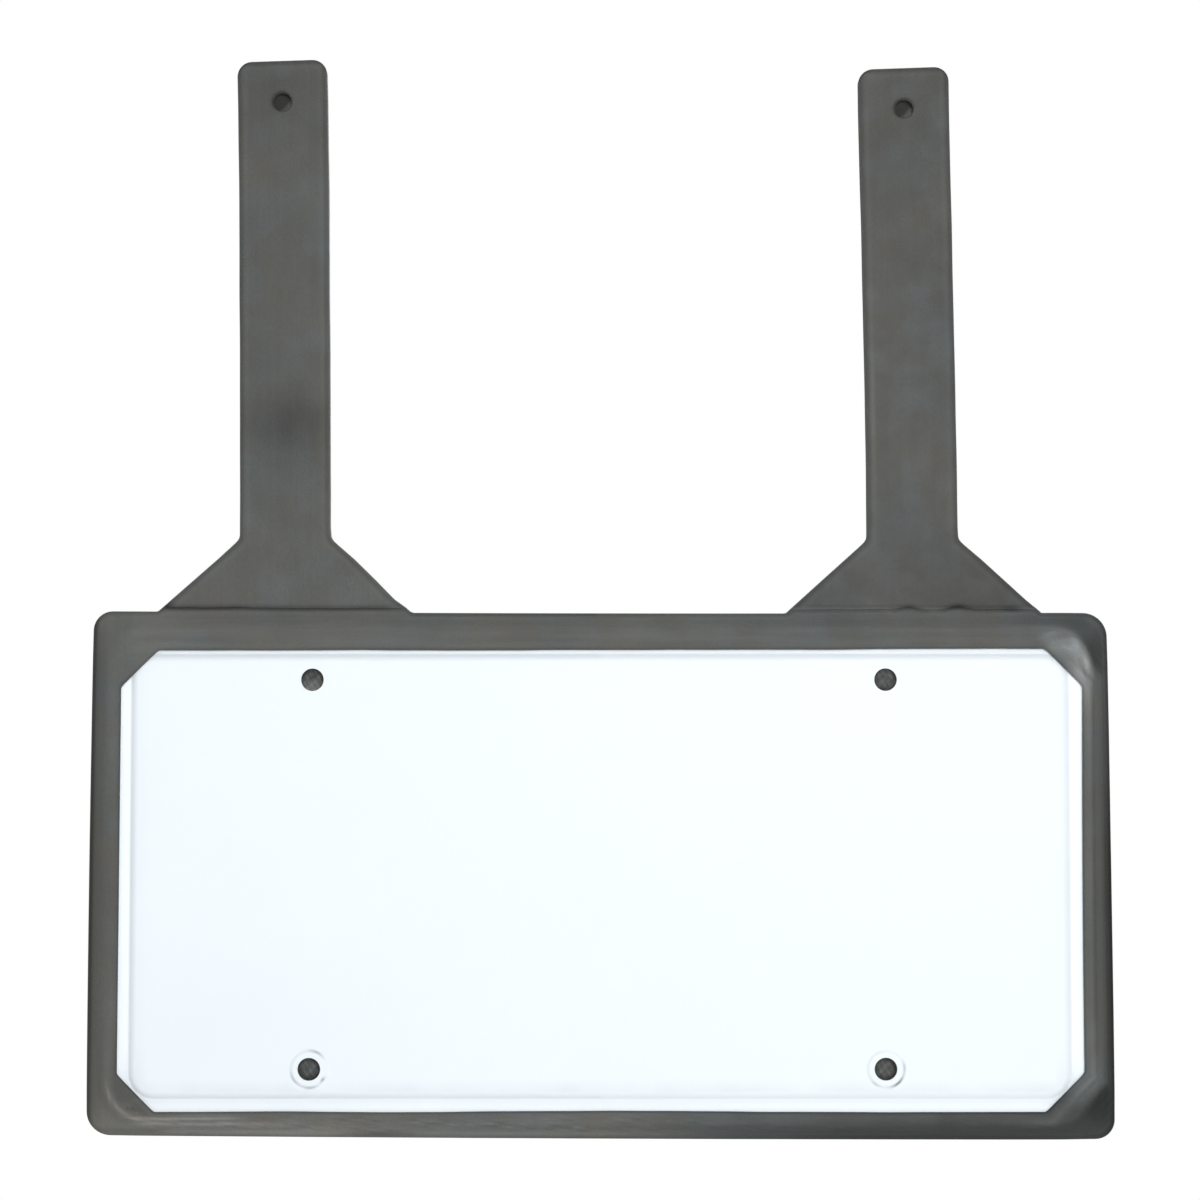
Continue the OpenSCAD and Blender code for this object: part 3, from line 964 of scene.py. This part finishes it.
def plate_loop(half_w, mid, half_h, r):
    """A rounded rectangle on the plate, in steps of about 1.5 mm."""
    corner = arc(half_w - r, half_h - r, r, np.linspace(math.pi / 2, 0, 13))
    corners = np.concatenate([corner, corner[::-1] * (1, -1), corner * (-1, -1),
                              corner[::-1] * (-1, 1)])
    pieces = []
    for a, b in zip(corners, np.roll(corners, -1, axis=0)):
        steps = max(1, int(np.linalg.norm(b - a) / 1.5))
        pieces.append(np.linspace(a, b, steps, endpoint=False))
    return np.concatenate(pieces) + (0, mid)


def make_plate():
    """The pressed sheet with its four holes, two of them in raised seats."""
    outline = plate_loop(PLATE_HALF_W, PLATE_MID, PLATE_HALF_H, PLATE_CORNER_R)
    rings = [plate_loop(PANEL_HALF_W - step, PANEL_MID, PANEL_HALF_H - step, PANEL_R - step)
             for step in BEVEL_STEPS]
    holes = []
    for hole_x, hole_z in HOLES:
        holes.append(circle(hole_x, PLATE_MID + hole_z, HOLE_R, HOLE_STEPS))
        radii = [HOLE_R + 0.5, HOLE_R + 1.2]
        if hole_z < 0:
            radii[1:] = [SEAT_R + step for step in SEAT_STEPS]
        rings += [circle(hole_x, PLATE_MID + hole_z, r, HOLE_STEPS) for r in radii]

    def front(x, z):
        return PLATE_BACK + PLATE_T + plate_height(x, z)

    def back(x, z):
        return front(x, z) - PLATE_T

    plate = sheet("plate_sheet", outline, holes, rings, 3.0, front, back)
    paint_plate(plate.data)
    plate.data.shade_smooth()
    plate.data.set_sharp_from_angle(angle=math.radians(45))
    return plate


# Materials

MATH = "ShaderNodeMath"
MIX = "ShaderNodeMix"
NOISE = "ShaderNodeTexNoise"
MAP_RANGE = "ShaderNodeMapRange"
MULTIPLY = {"operation": "MULTIPLY"}
MULTIPLY_ADD = {"operation": "MULTIPLY_ADD"}
SUBTRACT = {"operation": "SUBTRACT"}
SCALE_BY = {"operation": "SCALE"}
MIX_COLOURS = {"data_type": "RGBA"}
WHITE = (1, 1, 1, 1)

# Sizes of the patterns' features in mm: on the rubber, with streaks as x, y and z, and on the plate
PATCH_SIZE = 25
BLOTCH_SIZE = 9
GRAIN_SIZE = 0.7
STREAK_SIZE = (1.6, 10, 35)
MOTTLE_SIZE = 30
PEEL_SIZE = 1.5


def add(tree, kind, settings=None, inputs=None):
    """Adds a node. inputs give an input's name or number a value or a linked socket."""
    node = tree.nodes.new(kind)
    for name, value in (settings or {}).items():
        setattr(node, name, value)
    for name, value in (inputs or {}).items():
        if isinstance(value, bpy.types.NodeSocket):
            tree.links.new(value, node.inputs[name])
        else:
            node.inputs[name].default_value = value
    return node


def repeats(size):
    """The scale of a pattern whose features are size mm across."""
    return 1 / (size * MM)


def new_material(name):
    """A material with its node tree and its shader."""
    material = bpy.data.materials.new(name)
    material.use_nodes = True
    tree = material.node_tree
    return material, tree, tree.nodes["Principled BSDF"]


def rubber_material():
    """Matt moulded rubber, a near neutral grey with cool and brownish patches and faint streaks
    the way it flowed. Its grain is finer than 0.1 mm, and drawn coarser so that it shows."""
    material, tree, shader = new_material("moulded_rubber")
    place = add(tree, "ShaderNodeTexCoord").outputs["Object"]
    tone_and_painted_light, flow, warm, front = [
        add(tree, "ShaderNodeAttribute", {"attribute_name": name}).outputs["Fac"]
        for name in ("tone_and_painted_light", "flow", "warm", "front")]
    noises = []
    for size, detail in ((PATCH_SIZE, 2.0), (BLOTCH_SIZE, 3.0), (GRAIN_SIZE, 2.0)):
        noise = add(tree, NOISE, None, {"Vector": place, "Scale": repeats(size), "Detail": detail})
        noises.append(noise.outputs["Fac"])
    patches, blotches, grain = noises
    streaks = []
    for sizes in (STREAK_SIZE, STREAK_SIZE[::-1]):
        scale = [repeats(size) for size in sizes]
        way = add(tree, "ShaderNodeMapping", None, {"Vector": place, "Scale": scale}).outputs[0]
        noise = add(tree, NOISE, None, {"Vector": way, "Scale": 1.0, "Detail": 3.0})
        streaks.append(noise.outputs["Fac"])
    streak = add(tree, MIX, None, {0: flow, 2: streaks[0], 3: streaks[1]}).outputs[0]
    streak = add(tree, MATH, SUBTRACT, {0: streak, 1: 0.5}).outputs[0]
    streak = add(tree, MATH, MULTIPLY, {0: streak, 1: front}).outputs[0]

    hue = add(tree, MATH, MULTIPLY_ADD, {0: patches, 1: 0.5, 2: warm}).outputs[0]
    hue = add(tree, MATH, MULTIPLY_ADD, {0: blotches, 1: 0.5, 2: hue}).outputs[0]
    warmth = add(tree, MAP_RANGE, None, {"Value": hue, "From Min": 0.36, "From Max": 0.64})
    colour = add(tree, MIX, MIX_COLOURS, {0: warmth.outputs[0], 6: linear("4F5353"),
                                          7: linear("53524E")}).outputs[2]

    depth = add(tree, MATH, MULTIPLY_ADD, {0: flow, 1: 0.22, 2: 0.16}).outputs[0]
    level = add(tree, MATH, MULTIPLY_ADD, {0: streak, 1: depth, 2: 1.0}).outputs[0]
    for pattern, strength in ((grain, 0.22), (patches, 0.20)):
        off = add(tree, MATH, SUBTRACT, {0: pattern, 1: 0.5}).outputs[0]
        level = add(tree, MATH, MULTIPLY_ADD, {0: off, 1: strength, 2: level}).outputs[0]
    # The painted light and shade, with the rubber's own blotches, scale its colour
    level = add(tree, MATH, MULTIPLY, {0: level, 1: tone_and_painted_light}).outputs[0]
    shaded = add(tree, "ShaderNodeVectorMath", SCALE_BY, {0: colour, "Scale": level}).outputs[0]
    tree.links.new(shaded, shader.inputs["Base Color"])

    rough = add(tree, MAP_RANGE, None, {"Value": blotches, "From Min": 0.3, "From Max": 0.7,
                                        "To Min": 0.52, "To Max": 0.64})
    tree.links.new(rough.outputs[0], shader.inputs["Roughness"])
    shader.inputs["Specular IOR Level"].default_value = 0.3
    relief = add(tree, MATH, MULTIPLY_ADD, {0: streak, 1: 0.6, 2: grain}).outputs[0]
    bump = add(tree, "ShaderNodeBump", None,
               {"Strength": 0.35, "Distance": 0.2 * MM, "Height": relief})
    tree.links.new(bump.outputs[0], shader.inputs["Normal"])
    return material


def plate_material():
    """Satin white coating on pressed aluminium, faintly bluish, with a very slight mottle and a
    fine orange peel that soften its reflections."""
    material, tree, shader = new_material("coated_aluminium")
    place = add(tree, "ShaderNodeTexCoord").outputs["Object"]
    noises = []
    for size, detail in ((MOTTLE_SIZE, 3.0), (PEEL_SIZE, 1.0)):
        noise = add(tree, NOISE, None, {"Vector": place, "Scale": repeats(size), "Detail": detail})
        noises.append(noise.outputs["Fac"])
    mottle, peel = noises
    colour = add(tree, MIX, MIX_COLOURS,
                 {0: mottle, 6: linear("E8F1F8"), 7: linear("EFF5FA")}).outputs[2]
    # The painted light and shade scale the coating's colour
    tone_and_painted_light = add(tree, "ShaderNodeAttribute", {"attribute_name": "tone_and_painted_light"}).outputs["Fac"]
    shaded = add(tree, "ShaderNodeVectorMath", SCALE_BY, {0: colour, "Scale": tone_and_painted_light}).outputs[0]
    tree.links.new(shaded, shader.inputs["Base Color"])
    rough = add(tree, MAP_RANGE, None, {"Value": mottle, "From Min": 0.3, "From Max": 0.7,
                                        "To Min": 0.42, "To Max": 0.5})
    tree.links.new(rough.outputs[0], shader.inputs["Roughness"])
    shader.inputs["Specular IOR Level"].default_value = 0.35
    bump = add(tree, "ShaderNodeBump", None,
               {"Strength": 0.1, "Distance": 0.05 * MM, "Height": peel})
    tree.links.new(bump.outputs[0], shader.inputs["Normal"])
    return material


# Stage, in metres, with the camera's tilt in degrees and its lens in mm

FLOOR_Z = -0.52
FLOOR_R = 3.0
HOLE_SHADE_R = 0.0036
HOLE_SHADE_Y = 0.0002
DISC_STEPS = 64
AMBIENT = 0.34
CAMERA_Y = -0.998
CAMERA_ABOVE_PLATE = 27.26 * MM
CAMERA_TILT = 93.31
SENSOR_W = 36.0
FOCAL_LENGTH = 96.12


def see_through_behind(tree, shader):
    """Shows a stage surface from its front only."""
    behind = add(tree, "ShaderNodeNewGeometry").outputs["Backfacing"]
    clear = add(tree, "ShaderNodeBsdfTransparent").outputs[0]
    mix = add(tree, "ShaderNodeMixShader", None, {0: behind, 1: shader, 2: clear}).outputs[0]
    tree.links.new(mix, tree.nodes["Material Output"].inputs["Surface"])


def stage_disc(name, place, radius, upright, material):
    turn = np.linspace(0, 2 * math.pi, DISC_STEPS, endpoint=False)
    flat = np.zeros_like(turn)
    across = radius * np.cos(turn)
    along = radius * np.sin(turn)
    ring = [across, flat, along] if upright else [across, along, flat]
    mesh = bpy.data.meshes.new(name)
    mesh.from_pydata(np.stack(ring, axis=1).tolist(), [], [tuple(range(DISC_STEPS))])
    mesh.materials.append(material)
    put(name, mesh, place)


def floor_material():
    """Pale floor that keeps a soft shadow near the object and is plain white further out."""
    material, tree, shader = new_material("pale_floor")
    shader.inputs["Base Color"].default_value = linear("F4F4F2")
    shader.inputs["Roughness"].default_value = 0.9
    place = add(tree, "ShaderNodeTexCoord").outputs["Object"]
    away = add(tree, "ShaderNodeVectorMath", {"operation": "LENGTH"}, {0: place}).outputs["Value"]
    fade = add(tree, MAP_RANGE, {"interpolation_type": "SMOOTHSTEP"},
               {"Value": away, "From Min": 0.5, "From Max": 1.4, "To Min": 0.25}).outputs[0]
    seen = add(tree, "ShaderNodeLightPath").outputs["Is Camera Ray"]
    share = add(tree, MATH, MULTIPLY, {0: fade, 1: seen}).outputs[0]
    glow = add(tree, "ShaderNodeEmission", None, {"Color": WHITE, "Strength": 1.0}).outputs[0]
    mix = add(tree, "ShaderNodeMixShader", None, {0: share, 1: shader.outputs[0], 2: glow})
    see_through_behind(tree, mix.outputs[0])
    return material


def hole_shade_material():
    """Painted shade: an uneven dark grey disc behind the strap holes, standing in for the shade
    seen through them, with a painted shadow at its upper left.
    """
    material, tree, shader = new_material("painted_hole_shade")
    place = add(tree, "ShaderNodeTexCoord").outputs["Object"]
    uneven = add(tree, NOISE, None,
                 {"Vector": place, "Scale": repeats(1.2), "Detail": 2.0}).outputs["Fac"]
    axes = add(tree, "ShaderNodeSeparateXYZ", None, {"Vector": place}).outputs
    down = add(tree, MATH, SUBTRACT, {0: axes["X"], 1: axes["Z"]}).outputs[0]
    fall = add(tree, MATH, MULTIPLY_ADD, {0: uneven, 1: 1.4 * MM, 2: down}).outputs[0]
    share = add(tree, MAP_RANGE, None,
                {"Value": fall, "From Min": 1.6 * MM, "From Max": 4.6 * MM}).outputs[0]
    # Dark grey in the painted shadow at the upper left, lighter grey below and to the right
    colour = add(tree, MIX, MIX_COLOURS,
                 {0: share, 6: linear("2A2B29"), 7: linear("6B6C68")}).outputs[2]
    tree.links.new(colour, shader.inputs["Base Color"])
    shader.inputs["Roughness"].default_value = 0.8
    see_through_behind(tree, shader.outputs[0])
    return material


def make_stage():
    """The floor, and a small disc of painted shade behind each strap hole."""
    stage_disc("floor", (0, 0, FLOOR_Z), FLOOR_R, False, floor_material())
    hole_shade = hole_shade_material()
    for name, side in (("hole_shade_left", LEFT), ("hole_shade_right", RIGHT)):
        x, z, _ = strap_warp(side)(np.array([[0.0, STRAP_HOLE_Z, 0.0]]))[0]
        stage_disc(name, (x * MM, HOLE_SHADE_Y, z * MM), HOLE_SHADE_R, True, hole_shade)


def make_world():
    """Soft even light from all round, seen by the camera as plain white."""
    world = bpy.data.worlds.new("studio")
    bpy.context.scene.world = world
    world.use_nodes = True
    tree = world.node_tree
    seen = add(tree, "ShaderNodeLightPath").outputs["Is Camera Ray"]
    soft, white = [
        add(tree, "ShaderNodeBackground", None, {"Color": WHITE, "Strength": strength}).outputs[0]
        for strength in (AMBIENT, 1.0)]
    mix = add(tree, "ShaderNodeMixShader", None, {0: seen, 1: soft, 2: white}).outputs[0]
    tree.links.new(mix, tree.nodes["World Output"].inputs["Surface"])


def area_light(name, place, size, power):
    """A round soft light that faces the object."""
    aim = Vector((0, 0, -0.18)) - Vector(place)
    lamp = bpy.data.lights.new(name, "AREA")
    lamp.shape = "DISK"
    lamp.size = size
    lamp.energy = power
    light = put(name, lamp, place)
    light.rotation_euler = aim.to_track_quat("-Z", "Y").to_euler()


def make_lights():
    area_light("key_front", (0.25, -2.3, 0.15), 0.7, 31.0)
    area_light("fill_right", (1.6, -2.0, -0.3), 1.0, 3)
    area_light("rear", (0.8, 2.2, 0.7), 1.4, 28)


def make_camera():
    """About 1 m in front of the holder, looking slightly up."""
    lens = bpy.data.cameras.new("camera")
    lens.sensor_width = SENSOR_W
    lens.lens = FOCAL_LENGTH
    camera = put("camera", lens, (0, CAMERA_Y, PLATE_MID * MM + CAMERA_ABOVE_PLATE))
    camera.rotation_euler = (math.radians(CAMERA_TILT), 0, 0)
    bpy.context.scene.camera = camera


bpy.context.scene.view_settings.view_transform = "Standard"
make_world()
make_stage()
make_lights()
make_camera()

# The join leaves an empty material slot.
holder = make_holder()
holder.data.materials.clear()
holder.data.materials.append(rubber_material())
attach(holder, "root")
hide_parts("holder")

plate = make_plate()
plate.data.materials.append(plate_material())
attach(plate, "root")
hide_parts("number_plate")
